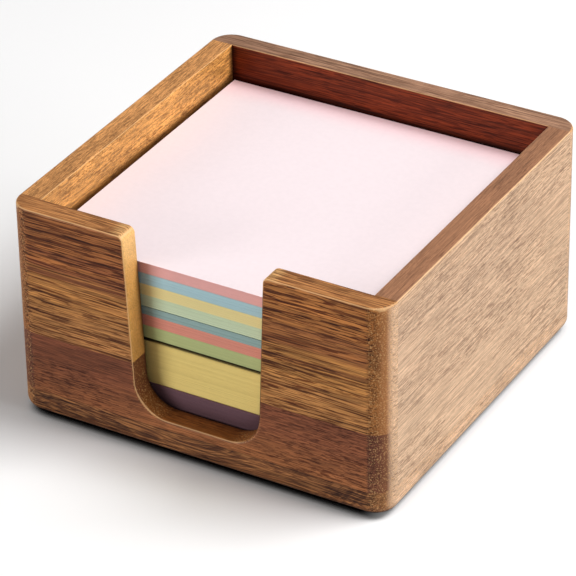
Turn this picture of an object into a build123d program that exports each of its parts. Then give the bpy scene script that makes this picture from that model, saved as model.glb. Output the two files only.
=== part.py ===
"""Desk holder for square memo notes: a glued-up wooden box with an open top and a finger notch.

Millimetres. X runs along the front, the front faces -Y and +Z is up. The origin is on the
desk, under the middle of the box.

The boards are glued into a box first and sanded as one piece, so its rounded corners, its
rounded underside and its eased rim run on across the glue lines. The same is done here: the
finished box is shaped whole, and then parted at its glue lines into the separate boards.
"""
import os

from build123d import *

# The notes are the standard square size, and the box is built round them.
note_side = 76.2
side_room = 0.9  # from the notes to the left and right boards
end_room = 0.4  # from the notes to the front and back boards

# The boards.
side_board_thickness = 5.3
end_board_thickness = 5.1  # the front and the back
base_thickness = 6.0
wood_height = 50.0  # from the underside to the rim
lower_stave_width = 14.1  # the front and back are two staves, and this one stands on the base

# What the sanding leaves on the edges.
corner_radius = 5.0
underside_radius = 2.6
outer_ease = 0.6  # along the outside of the rim and of the notch
inner_ease = 0.35  # along the inside of both

# The finger notch in the front. Its sides lean out a little towards the rim.
notch_width_at_rim = 32.8
notch_width_at_floor = 29.0
notch_sill = 2.1  # the wood left between the base and the floor of the notch
notch_floor_radius = 7.5
lobe_radius = 1.5  # where the sides of the notch turn into the rim

# The anti-slip feet under the base.
foot_diameter = 10.0
foot_thickness = 0.8
foot_inset = 13.0  # from the outside of the box to the middle of a foot

# The stack of notes, from the bottom up. Each run of one colour has its thickness and how
# far off centre it was put down, to the right and to the back.
papers = {
    "purple_pad": (6.4, 0.15, -0.05),
    "yellow_pad": (11.2, -0.10, 0.20),
    "lower_pad_green_leaves": (2.95, 0.05, -0.25),
    "lower_pad_coral_leaves": (2.60, 0.05, -0.25),
    "lower_pad_teal_leaves": (2.10, 0.05, -0.25),
    "upper_pad_green_leaves": (2.70, 0.0, -0.30),
    "upper_pad_yellow_leaves": (2.65, 0.0, -0.30),
    "upper_pad_blue_leaves": (2.60, 0.0, -0.30),
    "upper_pad_pink_leaves": (2.50, 0.0, -0.30),
}

# What follows from those sizes.
bay_width = note_side + 2 * side_room
bay_depth = note_side + 2 * end_room
box_width = bay_width + 2 * side_board_thickness
box_depth = bay_depth + 2 * end_board_thickness
underside = foot_thickness
base_top = underside + base_thickness
glue_line = base_top + lower_stave_width
notch_floor = base_top + notch_sill
rim = underside + wood_height
half_notch_at_rim = notch_width_at_rim / 2
half_notch_at_floor = notch_width_at_floor / 2
outer_wall = -box_depth / 2  # the outside of the front board, along Y
inner_wall = -bay_depth / 2  # and its inside
tiny = 0.001  # how near two measures are when they are the same place


def slab(left, right, front, back, bottom, top):
    """A straight block between six planes."""
    block = Box(right - left, back - front, top - bottom, align=(Align.MIN, Align.MIN, Align.MIN))
    return Pos(left, front, bottom) * block


def rounded_block():
    """The outside of the box, with its upright corners and its underside rounded."""
    outline = Pos(0, 0, underside) * RectangleRounded(box_width, box_depth, corner_radius)
    block = extrude(outline, wood_height)
    return fillet(block.faces().sort_by(Axis.Z)[0].edges(), underside_radius)


def notch_cutter():
    """The finger notch as a plate through the front board, flared where it meets the rim."""
    half_flare = half_notch_at_rim + 2 * lobe_radius
    above_rim = rim + corner_radius
    right_side = [
        (half_notch_at_floor, notch_floor),
        (half_notch_at_rim, rim),
        (half_flare, rim),
        (half_flare, above_rim),
    ]
    left_side = [(-x, z) for x, z in reversed(right_side)]
    elevation = make_face(Polyline(*left_side, *right_side, close=True))
    elevation = fillet(elevation.vertices().group_by(Axis.Y)[0], notch_floor_radius)
    rim_corners = [v for v in elevation.vertices() if abs(abs(v.X) - half_notch_at_rim) < tiny]
    elevation = fillet(rim_corners, lobe_radius)
    plate = extrude(Plane.XZ * elevation, 1.5 * end_board_thickness, both=True)
    return Pos(0, inner_wall, 0) * plate


def rim_edges(box, inside):
    """The edges along the rim, on the inside or on the outside of the boards."""
    chosen = []
    for edge in box.edges():
        middle = edge.center()
        in_bay = abs(middle.X) < bay_width / 2 + tiny and abs(middle.Y) < bay_depth / 2 + tiny
        through_front = inner_wall - middle.Y > tiny and middle.Y - outer_wall > tiny
        through_front = through_front and abs(middle.X) < bay_width / 2
        on_rim = edge.bounding_box().min.Z > rim - tiny
        if on_rim and not through_front and in_bay == inside:
            chosen.append(edge)
    return chosen


def notch_edges(box, wall):
    """The edges along the notch, on the outside or on the inside of the front board."""
    chosen = []
    for edge in box.edges():
        extent = edge.bounding_box()
        on_wall = abs(extent.min.Y - wall) < tiny and abs(extent.max.Y - wall) < tiny
        beside_notch = abs(edge.center().X) < half_notch_at_rim + lobe_radius
        below_rim = extent.min.Z < rim - tiny
        if on_wall and beside_notch and below_rim and extent.min.Z > notch_floor - tiny:
            chosen.append(edge)
    return chosen


def sanded_box():
    """The wooden box in one piece, hollowed, notched and eased along its edges."""
    bay = slab(-bay_width / 2, bay_width / 2, -bay_depth / 2, bay_depth / 2, base_top, rim + 1)
    box = rounded_block() - bay - notch_cutter()
    box = fillet(rim_edges(box, inside=False) + notch_edges(box, outer_wall), outer_ease)
    return fillet(rim_edges(box, inside=True) + notch_edges(box, inner_wall), inner_ease)


def boards():
    """The box parted at its glue lines. The front and the back run across the full width."""
    box = sanded_box()
    left, right = -box_width / 2, box_width / 2
    zones = {
        "base_board": slab(left, right, outer_wall, -outer_wall, underside, base_top),
        "front_lower_stave": slab(left, right, outer_wall, inner_wall, base_top, glue_line),
        "front_left_upper_stave": slab(left, 0, outer_wall, inner_wall, glue_line, rim),
        "front_right_upper_stave": slab(0, right, outer_wall, inner_wall, glue_line, rim),
        "back_lower_stave": slab(left, right, -inner_wall, -outer_wall, base_top, glue_line),
        "back_upper_stave": slab(left, right, -inner_wall, -outer_wall, glue_line, rim),
        "left_board": slab(left, -bay_width / 2, inner_wall, -inner_wall, base_top, rim),
        "right_board": slab(bay_width / 2, right, inner_wall, -inner_wall, base_top, rim),
    }
    return {name: box & zone for name, zone in zones.items()}


def feet():
    """Four round pads stuck to the underside, one near each corner."""
    reach_x = box_width / 2 - foot_inset
    reach_y = box_depth / 2 - foot_inset
    places = {
        "front_left_foot": (-reach_x, -reach_y),
        "front_right_foot": (reach_x, -reach_y),
        "back_left_foot": (-reach_x, reach_y),
        "back_right_foot": (reach_x, reach_y),
    }
    disc = Circle(foot_diameter / 2)
    return {name: extrude(Pos(x, y, 0) * disc, foot_thickness) for name, (x, y) in places.items()}


def note_stack():
    """The notes, laid one on another from the base up."""
    stack = {}
    bottom = base_top
    half = note_side / 2
    for name, (thickness, right_shift, back_shift) in papers.items():
        leaves = slab(-half, half, -half, half, bottom, bottom + thickness)
        stack[name] = Pos(right_shift, back_shift, 0) * leaves
        bottom += thickness
    return stack


os.makedirs("parts", exist_ok=True)
for name, piece in {**boards(), **feet(), **note_stack()}.items():
    export_step(piece, f"parts/{name}.step")
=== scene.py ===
"""A wooden memo pad holder with its stack of colour notes, on a plain pale floor."""

import math
import random

import bpy
from mathutils import Matrix, Vector


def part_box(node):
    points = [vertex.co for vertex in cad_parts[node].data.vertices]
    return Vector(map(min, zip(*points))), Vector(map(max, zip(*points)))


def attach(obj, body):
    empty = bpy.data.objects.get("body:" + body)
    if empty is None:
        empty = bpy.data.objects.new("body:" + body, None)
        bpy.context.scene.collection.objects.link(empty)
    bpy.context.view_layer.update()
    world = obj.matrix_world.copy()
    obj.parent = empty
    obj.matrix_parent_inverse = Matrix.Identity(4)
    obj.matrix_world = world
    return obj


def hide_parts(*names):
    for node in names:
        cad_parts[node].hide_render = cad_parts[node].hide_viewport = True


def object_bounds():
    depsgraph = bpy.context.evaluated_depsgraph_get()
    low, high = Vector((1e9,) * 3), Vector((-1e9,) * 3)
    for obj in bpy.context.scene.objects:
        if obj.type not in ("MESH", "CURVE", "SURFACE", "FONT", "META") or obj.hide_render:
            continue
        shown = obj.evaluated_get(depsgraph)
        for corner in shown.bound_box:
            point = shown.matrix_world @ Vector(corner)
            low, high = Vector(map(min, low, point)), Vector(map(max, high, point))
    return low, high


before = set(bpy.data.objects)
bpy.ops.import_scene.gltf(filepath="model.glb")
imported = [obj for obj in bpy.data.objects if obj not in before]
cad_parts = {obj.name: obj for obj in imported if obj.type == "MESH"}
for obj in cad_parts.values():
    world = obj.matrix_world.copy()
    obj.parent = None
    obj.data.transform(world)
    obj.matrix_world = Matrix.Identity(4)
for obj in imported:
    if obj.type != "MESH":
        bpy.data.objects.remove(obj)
cad_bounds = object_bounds()
mm = 0.001

# ---------------------------------------------------------------------------------------------
# The base board. One board of acacia under the whole box, with its grain across the front, so
# that its end grain shows at the left and right. It is glued under the walls and sanded round.
# ---------------------------------------------------------------------------------------------
front_face = cad_bounds[0].y / mm
rim_height = cad_bounds[1].z / mm
beyond = 60  # in mm, past every face of the box
right_end = (25, beyond, 1)  # limits along X: low, high and softness

# What pores, lines and marks leave of the wood's own colour, and the painted crevice shade.
pore_shade = (0.24, 0.15, 0.12, 1.0)
line_shade = (0.26, 0.16, 0.13, 1.0)
mark_shade = (0.20, 0.12, 0.09, 1.0)
painted_crevice_shade = (0.12, 0.07, 0.05, 1.0)


def tone(red, green, blue):
    """A colour as it is seen, from 0 to 255, in the linear values that a shader takes."""
    seen = (red / 255, green / 255, blue / 255)
    return (*(((c + 0.055) / 1.055) ** 2.4 if c > 0.04 else c / 12.92 for c in seen), 1.0)


def add(tree, kind, inputs, **options):
    """Adds a shader node. An input is given a value, or another node's output to follow."""
    node = tree.nodes.new(kind)
    for option, value in options.items():
        setattr(node, option, value)
    for name, value in inputs.items():
        if isinstance(value, bpy.types.NodeSocket):
            tree.links.new(value, node.inputs[name])
        else:
            node.inputs[name].default_value = value
    return node


def sum_of(tree, operation, first, second=0.0):
    """One sum of two numbers."""
    return add(tree, "ShaderNodeMath", {0: first, 1: second}, operation=operation).outputs[0]


def product(tree, first, second):
    """Two numbers multiplied, as where one mask holds back another."""
    return sum_of(tree, "MULTIPLY", first, second)


def vector_sum(tree, operation, first, second):
    """One sum of two vectors."""
    return add(tree, "ShaderNodeVectorMath", {0: first, 1: second}, operation=operation).outputs[0]


def between(tree, value, low, high, to_low=0.0, to_high=1.0):
    """Takes the stretch from low to high to another range, and holds it beyond the ends."""
    ends = {"Value": value, "From Min": low, "From Max": high, "To Min": to_low, "To Max": to_high}
    return add(tree, "ShaderNodeMapRange", ends, interpolation_type="SMOOTHSTEP").outputs[0]


def blended(tree, amount, under, over, how="MIX"):
    """One colour laid over another."""
    colours = {0: amount, 6: under, 7: over}
    return add(tree, "ShaderNodeMix", colours, data_type="RGBA", blend_type=how).outputs[2]


def place_of(tree):
    """The place of each point of the surface in mm, whole and axis by axis."""
    place = add(tree, "ShaderNodeTexCoord", {}).outputs["Object"]
    in_mm = vector_sum(tree, "MULTIPLY", place, (1 / mm,) * 3)
    axes = dict(add(tree, "ShaderNodeSeparateXYZ", {"Vector": in_mm}).outputs.items())
    return in_mm, axes


def facing_of(tree):
    """Which way each point of the surface faces, axis by axis, from -1 to 1."""
    normal = add(tree, "ShaderNodeTexCoord", {}).outputs["Normal"]
    return add(tree, "ShaderNodeSeparateXYZ", {"Vector": normal}).outputs


def tipped(tree, in_mm, rotation):
    """Turns a place, so that a pattern drawn along X runs another way."""
    return add(tree, "ShaderNodeMapping", {"Vector": in_mm, "Rotation": rotation}).outputs[0]


def openness(tree, reach, **towards):
    """1 where nothing stands within the reach, which is in mm, and less in a crevice.

    It looks straight out from the surface, or towards another Normal.
    """
    look = {"Distance": reach * mm, **towards}
    return add(tree, "ShaderNodeAmbientOcclusion", look).outputs["AO"]


def drawn_out(tree, place, per_mm, detail=2.0, roughness=0.5):
    """Noise drawn out along the grain. per_mm is how often it turns along, across and up."""
    scaled = vector_sum(tree, "MULTIPLY", place, per_mm)
    noise = {"Vector": scaled, "Scale": 1.0, "Detail": detail, "Roughness": roughness}
    return add(tree, "ShaderNodeTexNoise", noise).outputs


def bumped(tree, shader, height, strength, depth):
    """Gives the shader a relief. depth is how deep it is, in mm."""
    relief = {"Height": height, "Strength": strength, "Distance": depth * mm}
    tree.links.new(add(tree, "ShaderNodeBump", relief).outputs["Normal"], shader.inputs["Normal"])


def inside(tree, axes, limits):
    """1 within the limits, which are {axis: (low, high, softness)} in mm, and 0 outside them."""
    mask = 1.0
    for axis, (low, high, soft) in limits.items():
        mask = product(tree, mask, between(tree, axes[axis], low - soft, low + soft))
        mask = product(tree, mask, between(tree, axes[axis], high - soft, high + soft, 1.0, 0.0))
    return mask


def stain(colour, strength, facing=(), **limits):
    """A place with a colour of its own, as an end that has soaked up more oil has.

    facing is the axis that its surface turns to, and how far it has turned as the stain begins
    and as it is full. limits are as in inside().
    """
    return colour, strength, facing, limits


def stained(tree, colour, stains, axes, turned):
    """Lays the stains over the colour of a board."""
    for stain_colour, strength, facing, limits in stains:
        mask = product(tree, inside(tree, axes, limits), strength)
        if facing:
            axis, start, full = facing
            mask = product(tree, mask, between(tree, turned[axis], start, full))
        colour = blended(tree, mask, colour, stain_colour)
    return colour


def swaying(tree, board, swirl):
    """The places of a board, moved as its grain wanders, by up to half of swirl either way."""
    sway = drawn_out(tree, board, (0.012, 0.05, 0.05))["Color"]
    sway = vector_sum(tree, "SUBTRACT", sway, (0.5, 0.5, 0.5))
    return vector_sum(tree, "ADD", board, vector_sum(tree, "MULTIPLY", sway, (0, swirl, swirl)))


def growth_rings(tree, swayed, heart, growth, tones):
    """The tones of the wood, in rings round the heart of the tree, broken up by fine streaks."""
    from_heart = vector_sum(tree, "SUBTRACT", swayed, (0, *heart))
    from_heart = vector_sum(tree, "MULTIPLY", from_heart, (0, 1, 1))
    radius = add(tree, "ShaderNodeVectorMath", {0: from_heart}, operation="LENGTH").outputs["Value"]
    span = {"Value": radius, "From Min": growth[0], "From Max": growth[1]}
    ring = add(tree, "ShaderNodeMapRange", span).outputs[0]
    streaks = drawn_out(tree, swayed, (0.015, 0.55, 0.55), detail=4.0, roughness=0.6)["Fac"]
    ring = sum_of(tree, "ADD", ring, between(tree, streaks, 0.25, 0.75, -0.10, 0.10))
    ramp = add(tree, "ShaderNodeValToRGB", {"Fac": ring})
    stops = ramp.color_ramp.elements
    while len(stops) < len(tones):
        stops.new(0.5)
    for stop, (where, colour) in zip(stops, tones):
        stop.position = where
        stop.color = colour
    return ramp.outputs["Color"]


def vessels(tree, board, swayed, dashes, pores):
    """The short dark vessels, coarse and fine, which crowd together in patches."""
    often, finely = dashes
    finer = 1.6
    coarse = drawn_out(tree, board, (often, finely, finely), detail=2.0)["Fac"]
    coarse = between(tree, coarse, 0.56, 0.62)
    fine = (finer * often, finer * finely, finer * finely)
    fine = between(tree, drawn_out(tree, board, fine, detail=1.0)["Fac"], 0.55, 0.61, 0.0, 0.8)
    patches = drawn_out(tree, swayed, (0.03, 0.12, 0.12))["Fac"]
    crowded = between(tree, patches, 0.32, 0.56, 0.5, 1.2)
    return product(tree, product(tree, sum_of(tree, "MAXIMUM", coarse, fine), pores), crowded)


def levelled(tree, colour, in_mm, axes, turned):
    """At the right, the ends are sanded level with the side board, and are marked as it is."""
    level = inside(tree, axes, {"X": right_end})
    level = product(tree, level, between(tree, turned["X"], 0.86, 0.99))
    scratches = drawn_out(tree, in_mm, (3.8, 0.34, 3.8))["Fac"]
    scratches = product(tree, between(tree, scratches, 0.55, 0.62, 0.0, 0.48), level)
    colour = blended(tree, scratches, colour, pore_shade, "MULTIPLY")
    hairs = drawn_out(tree, in_mm, (4.5, 0.1, 4.5), detail=2.0, roughness=0.6)["Fac"]
    return blended(tree, level, colour, between(tree, hairs, 0.34, 0.66, 0.76, 1.24), "MULTIPLY")


def rubbed_and_highlit(tree, colour, axes, turned):
    """The edges of the rim and of the notch are paler, where the oil is sanded away and as a painted
    highlight.

    Up the right of the notch the edge is dark instead, as a painted shadow.
    """
    squarest = sum_of(tree, "MAXIMUM", turned["Y"], turned["Z"])
    squarest = sum_of(tree, "MAXIMUM", turned["X"], squarest)
    eased = between(tree, squarest, 0.88, 0.76)
    at_rim = between(tree, axes["Z"], rim_height - 1.0, rim_height - 0.6)
    left_and_floor = (-18.5, 10.5, 2.0)
    on_front = (-beyond, front_face + 0.38, 0.08)
    above_base = (8, beyond, 1)
    at_notch = inside(tree, axes, {"X": left_and_floor, "Y": on_front, "Z": above_base})
    # Partly sanded and partly a painted highlight: the eased edges are painted paler.
    worn_and_highlit = product(tree, eased, sum_of(tree, "MAXIMUM", at_rim, at_notch))
    colour = blended(tree, product(tree, worn_and_highlit, 0.62), colour, tone(240, 192, 136))
    right_wall = (13.5, 17.2, 0.3)
    whole_ease = (-beyond, front_face + 0.7, 0.1)
    above_curve = (16, 48, 1)
    at_right = inside(tree, axes, {"X": right_wall, "Y": whole_ease, "Z": above_curve})
    # Painted shadow: the edge up the right of the notch is painted dark.
    painted_edge_shadow = product(tree, between(tree, squarest, 0.985, 0.9, 0.0, 0.7), at_right)
    return blended(tree, painted_edge_shadow, colour, tone(62, 34, 20))


def wood(name, along, heart, growth, tones, lines, pores, gloss, stains=(), swirl=7.0, figure=0.15,
         dashes=(0.14, 2.5), coarseness=0.36):
    """Oiled acacia, as a solid that the board is cut from.

    along is the axis that the grain follows. heart is where the middle of the tree lies, across
    the grain, in mm. growth is the nearest and farthest distance from it that the tones span,
    and the tones run outwards. lines and pores are how strongly the long dark streaks and the
    short dark vessels show. stains is a list of what stain() gives. swirl is how many mm the
    grain wanders, and figure is how cloudy it is. dashes is how often the vessels come along the
    grain and across it, per mm, and coarseness is how far the fibres show.
    """
    material = bpy.data.materials.new(name)
    material.use_nodes = True
    tree = material.node_tree
    shader = tree.nodes["Principled BSDF"]
    in_mm, axes = place_of(tree)
    axes["from_middle"] = sum_of(tree, "ABSOLUTE", axes["X"])
    facing = facing_of(tree)
    turned = {axis: sum_of(tree, "ABSOLUTE", facing[axis]) for axis in "XYZ"}
    board = tipped(tree, in_mm, (0, 0, {"X": 0.0, "Y": -math.pi / 2}[along]))
    swayed = swaying(tree, board, swirl)
    colour = growth_rings(tree, swayed, heart, growth, tones)
    colour = stained(tree, colour, stains, axes, turned)

    # Fibres and a cloudy figure.
    often, finely = dashes
    fibres = drawn_out(tree, board, (0.35 * often, 1.4 * finely, 1.4 * finely), 2.0, 0.6)["Fac"]
    hairs = between(tree, fibres, 0.34, 0.66, 1 - coarseness, 1 + coarseness)
    shown = between(tree, turned[along], 0.3, 0.8, 1.0, 0.4)
    colour = blended(tree, shown, colour, hairs, "MULTIPLY")
    cloud = drawn_out(tree, swayed, (0.05, 0.16, 0.16), detail=3.0)["Fac"]
    cloud = between(tree, cloud, 0.3, 0.7, 1 - figure, 1 + figure)
    colour = blended(tree, 1.0, colour, cloud, "MULTIPLY")

    # Long dark lines and short dark vessels. They are calmer on the rim, and calmest on the end
    # grain, which has pale specks where the cut fibres catch the light.
    on_rim = between(tree, turned["Z"], 0.6, 0.9, 1.0, 0.7)
    open_grain = product(tree, on_rim, between(tree, turned[along], 0.15, 0.7, 1.0, 0.1))
    line = drawn_out(tree, swayed, (0.03, 2.2, 2.2), detail=1.0)["Fac"]
    line = product(tree, between(tree, line, 0.55, 0.62, 0.0, lines), open_grain)
    colour = blended(tree, line, colour, line_shade, "MULTIPLY")
    vessel = product(tree, vessels(tree, board, swayed, dashes, pores), open_grain)
    colour = blended(tree, vessel, colour, pore_shade, "MULTIPLY")
    specks = drawn_out(tree, board, (3.4, 3.4, 3.4), detail=1.0)["Fac"]
    specks = between(tree, specks, 0.55, 0.64, 0.0, 0.42)
    specks = product(tree, specks, between(tree, turned[along], 0.05, 0.3))
    colour = blended(tree, specks, colour, tone(226, 178, 118))

    # Sanded level ends, pale edges that are partly sanded and partly a painted highlight, and painted
    # shade in the corners and wherever the notes or the desk come close.
    if along == "X":
        colour = levelled(tree, colour, in_mm, axes, turned)
    colour = rubbed_and_highlit(tree, colour, axes, turned)
    # Painted shade: darker in the corners and wherever the notes or the desk come close.
    crevice = between(tree, openness(tree, reach=2.6), 0.92, 0.55, 0.0, 0.85)
    colour = blended(tree, crevice, colour, painted_crevice_shade, "MULTIPLY")

    tree.links.new(colour, shader.inputs["Base Color"])
    rough = between(tree, sum_of(tree, "MAXIMUM", vessel, line), 0.0, 1.0, 0.44, 0.70)
    tree.links.new(rough, shader.inputs["Roughness"])
    shader.inputs["Specular IOR Level"].default_value = gloss
    bumped(tree, shader, sum_of(tree, "SUBTRACT", fibres, vessel), strength=0.25, depth=0.15)
    return material


def give_finish(node, material):
    """Gives a piece of the frame its material."""
    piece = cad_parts[node]
    piece.data.materials.clear()
    piece.data.materials.append(material)


# Painted sheen: the right ends of the boards are painted pale, as the strong light from the right
# washes them.
painted_sheen_end = tone(214, 179, 147)
stripe_count = 28  # narrow growth rings, light and dark in turn
base_wood = wood(
    "base_acacia", "X", heart=(-30, 22), growth=(8, 40),
    tones=[(k / (stripe_count - 1), tone(88, 50, 30) if k % 2 else tone(168, 112, 66))
           for k in range(stripe_count)],
    lines=0.4, pores=0.8, gloss=0.25, swirl=22.0,
    stains=[stain(tone(176, 122, 76), 0.3, ("X", 0.2, 0.6)),
            stain(painted_sheen_end, 0.85, ("X", 0.75, 0.98), X=right_end)],
)

# Near the right end its grain comes up to the front in short slanting marks.
base_tree = base_wood.node_tree
base_colour = base_tree.nodes["Principled BSDF"].inputs["Base Color"]
base_place, base_axes = place_of(base_tree)
slanting = tipped(base_tree, base_place, (0, math.radians(-40), 0))
marks = drawn_out(base_tree, slanting, (1.2, 1.2, 0.2))["Fac"]
near_corner = inside(base_tree, base_axes, {"X": (30, 42, 4), "Y": (-beyond, -40, 1)})
marks = product(base_tree, between(base_tree, marks, 0.5, 0.6, 0.0, 0.55), near_corner)
unmarked = base_colour.links[0].from_socket
marked = blended(base_tree, marks, unmarked, mark_shade, "MULTIPLY")
base_tree.links.new(marked, base_colour)
give_finish("base_board", base_wood)

# ---------------------------------------------------------------------------------------------
# The front board. Two staves are glued edge to edge, a streaked golden one over a darker red
# one, and the finger notch is cut through both. The upper stave's two lobes are one board.
# ---------------------------------------------------------------------------------------------
both_ends = (25, beyond, 1)  # from the middle of the board
notch_walls = (-18, 18, 0.5)
# The ends are darker where the end grain soaks up more oil; at the right they take the painted sheen.
soaked_end_and_sheen = [
    stain(tone(130, 76, 38), 0.8, ("X", 0.06, 0.3), from_middle=both_ends),
    stain(tone(160, 98, 48), 0.5, ("X", 0.06, 0.3), from_middle=both_ends, Z=(45, beyond, 2.5)),
    stain(tone(74, 40, 26), 0.6, ("X", 0.06, 0.3), X=right_end, Z=(36, 42, 4)),
    stain(tone(164, 110, 66), 0.8, ("X", 0.5, 0.75), from_middle=both_ends),
    stain(painted_sheen_end, 0.9, ("X", 0.78, 0.98), X=right_end),
]
upper_front_wood = wood(
    "front_upper_acacia", "X", heart=(30, -60), growth=(106, 136),
    tones=[(0.0, tone(168, 114, 67)), (0.25, tone(177, 121, 69)), (0.45, tone(185, 126, 67)),
           (0.58, tone(144, 84, 50)), (0.68, tone(172, 107, 56)), (1.0, tone(176, 111, 58))],
    lines=0.9, pores=0.85, gloss=0.22, figure=0.11,
    stains=soaked_end_and_sheen + [
        stain(tone(116, 64, 38), 0.4, ("Y", 0.5, 0.9), X=(-beyond, -8, 8), Z=(42, beyond, 6)),
        stain(tone(206, 146, 72), 0.14, ("Y", 0.7, 0.98), X=(10, beyond, 6)),
        stain(tone(212, 156, 83), 0.92, ("X", 0.4, 0.8), X=notch_walls),
        # Painted light: the notch walls are painted paler towards the top, where more light reaches
        # them.
        stain(tone(246, 200, 130), 0.6, ("X", 0.4, 0.8), X=notch_walls, Z=(44, beyond, 5)),
        stain(tone(186, 128, 77), 0.85, ("Z", 0.7, 0.95)),
        # Painted highlight: the eased rim edges beside the notch are painted paler.
        stain(tone(232, 184, 122), 0.5, ("Z", 0.3, 0.7), X=(-19.5, 19.5, 1.2), Z=(49, beyond, 0.3)),
    ],
)
give_finish("front_left_upper_stave", upper_front_wood)
give_finish("front_right_upper_stave", upper_front_wood)
lower_end = [
    stain(tone(98, 56, 42), 0.85, ("X", 0.08, 0.2), from_middle=both_ends),
    stain(tone(132, 84, 56), 0.75, ("X", 0.6, 0.8), from_middle=both_ends),
    stain(painted_sheen_end, 0.92, ("X", 0.8, 0.97), X=right_end),
]
lower_front_wood = wood(
    "front_lower_acacia", "X", heart=(10, 90), growth=(84, 100),
    tones=[(0.0, tone(126, 71, 48)), (0.5, tone(138, 81, 52)), (1.0, tone(166, 104, 62))],
    lines=0.25, pores=0.7, gloss=0.22, dashes=(0.32, 2.9),
    stains=lower_end + [
        stain(tone(100, 52, 36), 0.35, X=(-beyond, -10, 14)),
        stain(tone(94, 52, 28), 0.6, ("X", 0.4, 0.8), X=notch_walls),
        stain(tone(139, 82, 34), 0.8, ("Z", 0.3, 0.8), X=notch_walls),
    ],
)
give_finish("front_lower_stave", lower_front_wood)

# ---------------------------------------------------------------------------------------------
# The back board. It is glued up from two staves as the front is, and its inside is a deep red
# brown.
# ---------------------------------------------------------------------------------------------
back_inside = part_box("back_upper_stave")[0].y / mm
on_inside = (back_inside - 1, back_inside + 0.5, 0.2)
deep_red_inside = stain(tone(120, 41, 12), 0.95, ("Y", 0.4, 0.9), Y=on_inside)
# Painted shade: the back board's right corner, turning away from the light, is painted darker.
painted_back_corner_shade = stain(tone(132, 100, 86), 0.8, ("Y", 0.12, 0.45), X=(36, beyond, 0.5))
back_rim = stain(tone(164, 126, 102), 0.9, ("Z", 0.7, 0.95))
back_wood = wood(
    "back_acacia", "X", heart=(95, -30), growth=(90, 125),
    tones=[(0.0, tone(150, 102, 64)), (0.5, tone(168, 116, 72)), (1.0, tone(144, 92, 56))],
    lines=0.5, pores=0.6, gloss=0.14, stains=soaked_end_and_sheen + [painted_back_corner_shade, deep_red_inside, back_rim],
)
give_finish("back_upper_stave", back_wood)
lower_back_wood = wood(
    "back_lower_acacia", "X", heart=(95, 60), growth=(60, 100),
    tones=[(0.0, tone(124, 72, 44)), (0.5, tone(146, 92, 56)), (1.0, tone(128, 76, 46))],
    lines=0.4, pores=0.7, gloss=0.25, stains=soaked_end_and_sheen + [painted_back_corner_shade, deep_red_inside],
)
give_finish("back_lower_stave", lower_back_wood)

# ---------------------------------------------------------------------------------------------
# The side boards, of acacia too, butted and glued between the front and the back with their
# grain running back. The right one is pale, partly as a painted sheen, and the left one is golden
# inside.
# ---------------------------------------------------------------------------------------------
left_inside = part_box("left_board")[1].x / mm
on_inside = (left_inside - 0.5, left_inside + 1, 0.2)
left_wood = wood(
    "left_acacia", "Y", heart=(10, -40), growth=(50, 100),
    tones=[(0.0, tone(170, 118, 72)), (0.4, tone(186, 136, 86)), (0.7, tone(164, 112, 70)),
           (1.0, tone(190, 138, 88))],
    lines=0.05, pores=0.5, gloss=0.25, dashes=(0.85, 2.5),
    stains=[stain(tone(211, 150, 78), 0.9, ("X", 0.4, 0.9), X=on_inside),
            stain(tone(206, 145, 86), 0.75, ("Z", 0.7, 0.95))],
)
give_finish("left_board", left_wood)
# Partly painted sheen: the right board's pale, greyish tones stand partly for the sheen of the strong
# light from the right.
right_wood = wood(
    "right_acacia", "Y", heart=(-20, -50), growth=(60, 110),
    tones=[(0.0, tone(215, 180, 146)), (0.4, tone(212, 177, 144)), (0.7, tone(209, 174, 142)),
           (1.0, tone(206, 169, 134))],
    lines=0.3, pores=0.5, gloss=0.45, figure=0.05, dashes=(0.34, 3.8), coarseness=0.22,
    stains=[stain(tone(236, 194, 150), 0.12, ("X", 0.9, 0.99), Y=(14, beyond, 16), Z=(22, beyond, 12)),
            stain(tone(158, 106, 73), 0.9, ("Z", 0.7, 0.95))],
)
give_finish("right_board", right_wood)

# ---------------------------------------------------------------------------------------------
# The feet. Four thin discs of black foam rubber, stuck to the underside, which keep the box
# from sliding on the desk.
# ---------------------------------------------------------------------------------------------
foam = bpy.data.materials.new("foam_rubber")
foam.use_nodes = True
foam_tree = foam.node_tree
foam_shader = foam_tree.nodes["Principled BSDF"]
foam_place, foam_axes = place_of(foam_tree)
cells = drawn_out(foam_tree, foam_place, (2.5, 2.5, 2.5), detail=3.0)["Fac"]
foam_colour = blended(foam_tree, cells, tone(26, 26, 27), tone(52, 52, 54))
foam_tree.links.new(foam_colour, foam_shader.inputs["Base Color"])
foam_shader.inputs["Roughness"].default_value = 0.8
bumped(foam_tree, foam_shader, cells, strength=0.4, depth=0.1)
for foot in ("front_left_foot", "front_right_foot", "back_left_foot", "back_right_foot"):
    give_finish(foot, foam)

# ---------------------------------------------------------------------------------------------
# The purple pad, the lowest of the notes. Like every run of one colour, it is a block of thin
# uncoated leaves, cut together but never quite flush, so that fine lines show along its edges.
# ---------------------------------------------------------------------------------------------
# Painted shade: what a wall close by leaves of the colour of the cut edges.
painted_wall_shade = (0.32, 0.24, 0.22, 1.0)  # what a wall close by leaves of the colour of the edges


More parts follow.
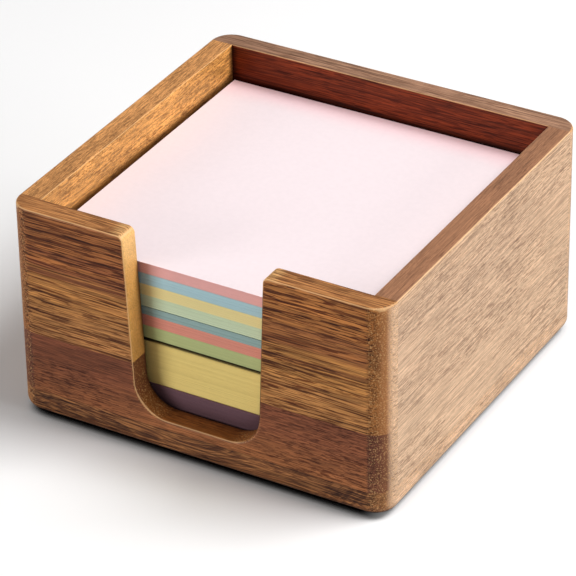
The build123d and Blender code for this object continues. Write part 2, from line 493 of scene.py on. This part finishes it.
def paper(name, face, edge, shades=(), covered=None):
    """Uncoated coloured paper. Its cut edges show the colour deeper than its face does.

    shades are the painted shade and reflected light that it takes on beside the walls: (colour,
    strength, limits). covered is the colour, and the limits, that the leaves have in the dark just
    under another pad.
    """
    material = bpy.data.materials.new(name)
    material.use_nodes = True
    tree = material.node_tree
    shader = tree.nodes["Principled BSDF"]
    in_mm, axes = place_of(tree)
    pulp = drawn_out(tree, in_mm, (0.9, 0.9, 0.9), detail=4.0, roughness=0.6)["Fac"]
    sheets = drawn_out(tree, in_mm, (0.012, 0.012, 9.0), detail=1.0)["Fac"]
    cut = blended(tree, 1.0, edge, between(tree, sheets, 0.3, 0.7, 0.95, 1.03), "MULTIPLY")
    # Painted shade: cut edges close beside a wall or another pad are painted darker.
    shaded = between(tree, openness(tree, reach=4.5), 0.92, 0.5, 0.0, 0.6)
    cut = blended(tree, shaded, cut, painted_wall_shade, "MULTIPLY")
    colour = blended(tree, between(tree, facing_of(tree)["Z"], 0.3, 0.7), cut, face)
    for shade, strength, limits in shades:
        walled = between(tree, openness(tree, reach=12), 0.99, 0.8, 0.0, strength)
        mask = product(tree, inside(tree, axes, limits), walled)
        colour = blended(tree, mask, colour, shade)
    if covered:
        dark, limits = covered
        up = add(tree, "ShaderNodeCombineXYZ", {"Z": 1.0}).outputs[0]
        under_pad = between(tree, openness(tree, reach=2.2, Normal=up), 0.42, 0.22)
        mask = product(tree, inside(tree, axes, limits), under_pad)
        colour = blended(tree, mask, colour, dark)
    colour = blended(tree, 1.0, colour, between(tree, pulp, 0.3, 0.7, 0.985, 1.01), "MULTIPLY")
    tree.links.new(colour, shader.inputs["Base Color"])
    shader.inputs["Roughness"].default_value = 0.85
    shader.inputs["Specular IOR Level"].default_value = 0.2
    bumped(tree, shader, pulp, strength=0.1, depth=0.05)
    return material


def leaf_run(node, body, material, seed, drawn_back=()):
    """A block of leaves in the place of one run of colour. No edge strays outwards.

    drawn_back is how far, in mm, its front edge lies back from the pad above, leaf by leaf from
    the top down.
    """
    leaf = 0.104 * mm
    stray = 0.045 * mm
    filled = 0.94  # the share of its room that a leaf fills, which leaves a line between two
    leaf_middle = 0.48  # how far up that room its middle is
    corners = 8
    low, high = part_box(node)
    count = round((high.z - low.z) / leaf)
    pitch = (high.z - low.z) / count
    middle = (low + high) / 2
    bpy.ops.object.select_all(action="DESELECT")
    lowest = (middle.x, middle.y, low.z + pitch * leaf_middle)
    bpy.ops.mesh.primitive_cube_add(size=1, location=lowest)
    run = bpy.context.object
    run.name = node.replace("_pad", "_notes")
    run.scale = (high.x - low.x, high.y - low.y, pitch * filled)
    bpy.ops.object.transform_apply(location=True, rotation=False, scale=True)
    stack = run.modifiers.new("stack", "ARRAY")
    stack.use_relative_offset = False
    stack.use_constant_offset = True
    stack.constant_offset_displace = (0, 0, pitch)
    stack.count = count
    bpy.ops.object.modifier_apply(modifier=stack.name)
    draw = random.Random(seed)
    for which in range(count):
        left, right, front, back = [draw.uniform(0, stray) for side in range(4)]
        from_top = count - 1 - which
        if from_top < len(drawn_back):
            front += drawn_back[from_top] * mm
        for vertex in run.data.vertices[corners * which:corners * (which + 1)]:
            vertex.co.x += left if vertex.co.x < middle.x else -right
            vertex.co.y += front if vertex.co.y < middle.y else -back
    run.data.materials.append(material)
    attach(run, body)
    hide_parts(node)


purple = paper("purple_paper", tone(126, 96, 108), tone(110, 80, 88))
leaf_run("purple_pad", "purple_notes", purple, seed=1)

# ---------------------------------------------------------------------------------------------
# The yellow pad, thick and of one colour. Its top leaves lie a little back from the front, in
# the dark under the pad above.
# ---------------------------------------------------------------------------------------------
hollow = (0.6, 0.6, 0.6, 0.6, 0.55, 0.5, 0.42, 0.34, 0.26, 0.19, 0.13, 0.08, 0.04)
yellow_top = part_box("yellow_pad")[1].z / mm
in_the_dark = (tone(34, 28, 12), {"Z": (yellow_top - 1.2, yellow_top + 1, 0.1)})
yellow = paper("yellow_paper", tone(246, 226, 146), tone(240, 214, 132), covered=in_the_dark)
leaf_run("yellow_pad", "yellow_notes", yellow, seed=2, drawn_back=hollow)

# ---------------------------------------------------------------------------------------------
# The lower multi-colour pad. Three runs of leaves, green, coral and teal from the bottom up,
# are glued along one edge. The top leaves are drawn back a little.
# ---------------------------------------------------------------------------------------------
green = paper("green_paper", tone(198, 210, 152), tone(184, 192, 133))
leaf_run("lower_pad_green_leaves", "lower_notes", green, seed=3)
coral = paper("coral_paper", tone(242, 172, 154), tone(226, 150, 131))
leaf_run("lower_pad_coral_leaves", "lower_notes", coral, seed=4)
teal = paper("teal_paper", tone(168, 198, 196), tone(154, 181, 178))
leaf_run("lower_pad_teal_leaves", "lower_notes", teal, seed=5, drawn_back=(0.5, 0.3))

# ---------------------------------------------------------------------------------------------
# The upper multi-colour pad. Four runs of leaves, green, yellow, blue and pink from the bottom
# up, are glued along one edge. The pink has painted shade beside the back and right walls.
# ---------------------------------------------------------------------------------------------
light_green = paper("light_green_paper", tone(222, 238, 200), tone(206, 221, 186))
leaf_run("upper_pad_green_leaves", "upper_notes", light_green, seed=6)
upper_yellow = paper("upper_yellow_paper", tone(250, 238, 176), tone(240, 223, 158))
leaf_run("upper_pad_yellow_leaves", "upper_notes", upper_yellow, seed=7)
blue = paper("blue_paper", tone(194, 226, 234), tone(177, 209, 216))
leaf_run("upper_pad_blue_leaves", "upper_notes", blue, seed=8)
# Painted shade and reflected light: the pink is painted deeper close to the back and right walls.
painted_pink_shade = tone(255, 206, 211)
painted_shade_by_walls = [(painted_pink_shade, 0.7, {"Y": (33, beyond, 5)}), (painted_pink_shade, 0.5, {"X": (36, beyond, 4)})]
pink = paper("pink_paper", tone(250, 235, 238), tone(241, 178, 172), shades=painted_shade_by_walls)
leaf_run("upper_pad_pink_leaves", "upper_notes", pink, seed=9)

# ---------------------------------------------------------------------------------------------
# The floor and the light: a pale flat floor under a soft overhead lamp that stands a little to
# the right, a low panel at the right, another at the front left, and faint light all round.
# ---------------------------------------------------------------------------------------------
bpy.ops.object.select_all(action="DESELECT")
bpy.ops.mesh.primitive_plane_add(size=6.0, location=(0, 0, 0))
floor = bpy.context.object
floor.name = "floor"
floor_paint = bpy.data.materials.new("pale_floor")
floor_paint.use_nodes = True
floor_tree = floor_paint.node_tree
floor_shader = floor_tree.nodes["Principled BSDF"]

# It is seen white, with a painted contact shadow where it meets the box, except on the lit side
# at the right. What it throws back at the box is the light of a grey floor.
black = (0.0, 0.0, 0.0, 1.0)
near_white = (1.0, 0.995, 0.995, 1.0)
mid_grey = (0.45, 0.44, 0.44, 1.0)
# Painted shadow: the floor is painted dark where the box stands close.
out_of_painted_shadow = between(floor_tree, openness(floor_tree, reach=12), 0.2, 0.64)
floor_place, floor_axes = place_of(floor_tree)
on_lit_side = between(floor_tree, floor_axes["X"], 37, 45)
clear = sum_of(floor_tree, "MAXIMUM", out_of_painted_shadow, on_lit_side)
seen_floor = blended(floor_tree, clear, black, near_white)
seen = add(floor_tree, "ShaderNodeLightPath", {}).outputs["Is Camera Ray"]
floor_colour = blended(floor_tree, seen, mid_grey, seen_floor)
floor_tree.links.new(floor_colour, floor_shader.inputs["Base Color"])
floor_shader.inputs["Roughness"].default_value = 1.0
floor_shader.inputs["Specular IOR Level"].default_value = 0.0
floor.data.materials.append(floor_paint)


def softbox(name, direction, distance, size, level):
    """A square lamp. At level 1, a surface turned to it shows a colour as it is written."""
    away = Vector(direction).normalized()
    aimed_at = Vector((0, 0, 0.03))
    lamp = bpy.data.lights.new(name, "AREA")
    lamp.size = size
    lamp.energy = level * math.pi ** 2 * distance ** 2
    holder = bpy.data.objects.new(name, lamp)
    bpy.context.scene.collection.objects.link(holder)
    holder.location = away * distance + aimed_at
    holder.rotation_euler = away.to_track_quat("Z", "Y").to_euler()


softbox("overhead", (0.50, 0.22, 0.84), distance=1.0, size=0.5, level=0.89)
softbox("right_panel", (1.0, 0.0, 0.20), distance=1.2, size=0.6, level=0.50)
softbox("front_fill", (-0.75, -1.0, 0.14), distance=1.4, size=0.65, level=0.73)

world = bpy.data.worlds.new("studio")
bpy.context.scene.world = world
world.use_nodes = True
room = world.node_tree
white = (1.0, 1.0, 1.0, 1.0)
rays = add(room, "ShaderNodeLightPath", {}).outputs
sees_room = sum_of(room, "MAXIMUM", rays["Is Camera Ray"], rays["Is Transmission Ray"])
backdrop = add(room, "ShaderNodeBackground", {"Color": white, "Strength": 1.0}).outputs[0]
ambient = add(room, "ShaderNodeBackground", {"Color": white, "Strength": 0.22}).outputs[0]
either = add(room, "ShaderNodeMixShader", {0: sees_room, 1: ambient, 2: backdrop}).outputs[0]
room.links.new(either, room.nodes["World Output"].inputs["Surface"])

# ---------------------------------------------------------------------------------------------
# The camera. A long lens from the front right, looking down on the box, tipped a degree.
# ---------------------------------------------------------------------------------------------
azimuth = math.radians(30.32)
elevation = math.radians(31.81)
tip = math.radians(-0.99)
aim = Vector((-3.14, 0, 18.87)) * mm
camera_distance = 757.9 * mm
camera = bpy.data.objects.new("camera", bpy.data.cameras.new("camera"))
bpy.context.scene.collection.objects.link(camera)
camera.data.sensor_width = 36.0
camera.data.lens = 221.2
turned_down = Matrix.Rotation(azimuth, 4, "Z") @ Matrix.Rotation(math.pi / 2 - elevation, 4, "X")
standoff = Matrix.Translation((0, 0, camera_distance))
camera.matrix_world = Matrix.Translation(aim) @ turned_down @ Matrix.Rotation(tip, 4, "Z") @ standoff
bpy.context.scene.camera = camera

bpy.context.scene.view_settings.view_transform = "Standard"
